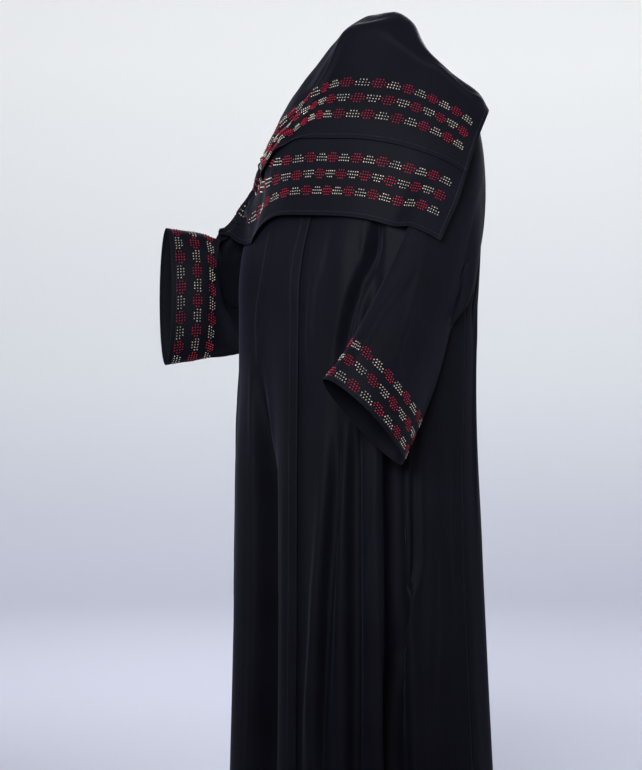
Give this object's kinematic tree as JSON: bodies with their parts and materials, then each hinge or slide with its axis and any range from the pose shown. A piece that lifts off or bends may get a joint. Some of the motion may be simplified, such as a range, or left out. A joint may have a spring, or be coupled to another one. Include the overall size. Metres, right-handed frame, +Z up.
{
  "type": "abaya with matching veil",
  "caption": "Hollow worn abaya with wide sleeves, closed at the centre front, under its two-layer matching veil.",
  "frame": {"origin": "centre of the neck opening at the height of the highest shoulder points, where the wearer holds the garment", "axes": "+Z up, -Y the way the wearer faces, +X towards the wearer's left"},
  "size_m": [0.6434, 0.511, 1.5758],
  "materials": {
    "crepe": "very dark navy-black crepe with a soft sheen",
    "snap_metal": "dark painted metal"
  },
  "bodies": {
    "root": {"front_right": "crepe", "front_left": "crepe", "back": "crepe", "sleeve_right": "crepe", "sleeve_left": "crepe", "neck_binding": "crepe", "veil_upper": "crepe", "veil_lower": "crepe", "snap_1": "snap_metal", "snap_2": "snap_metal", "snap_3": "snap_metal", "snap_4": "snap_metal", "snap_5": "snap_metal", "snap_6": "snap_metal", "snap_7": "snap_metal", "snap_8": "snap_metal"}
  },
  "joints": []
}
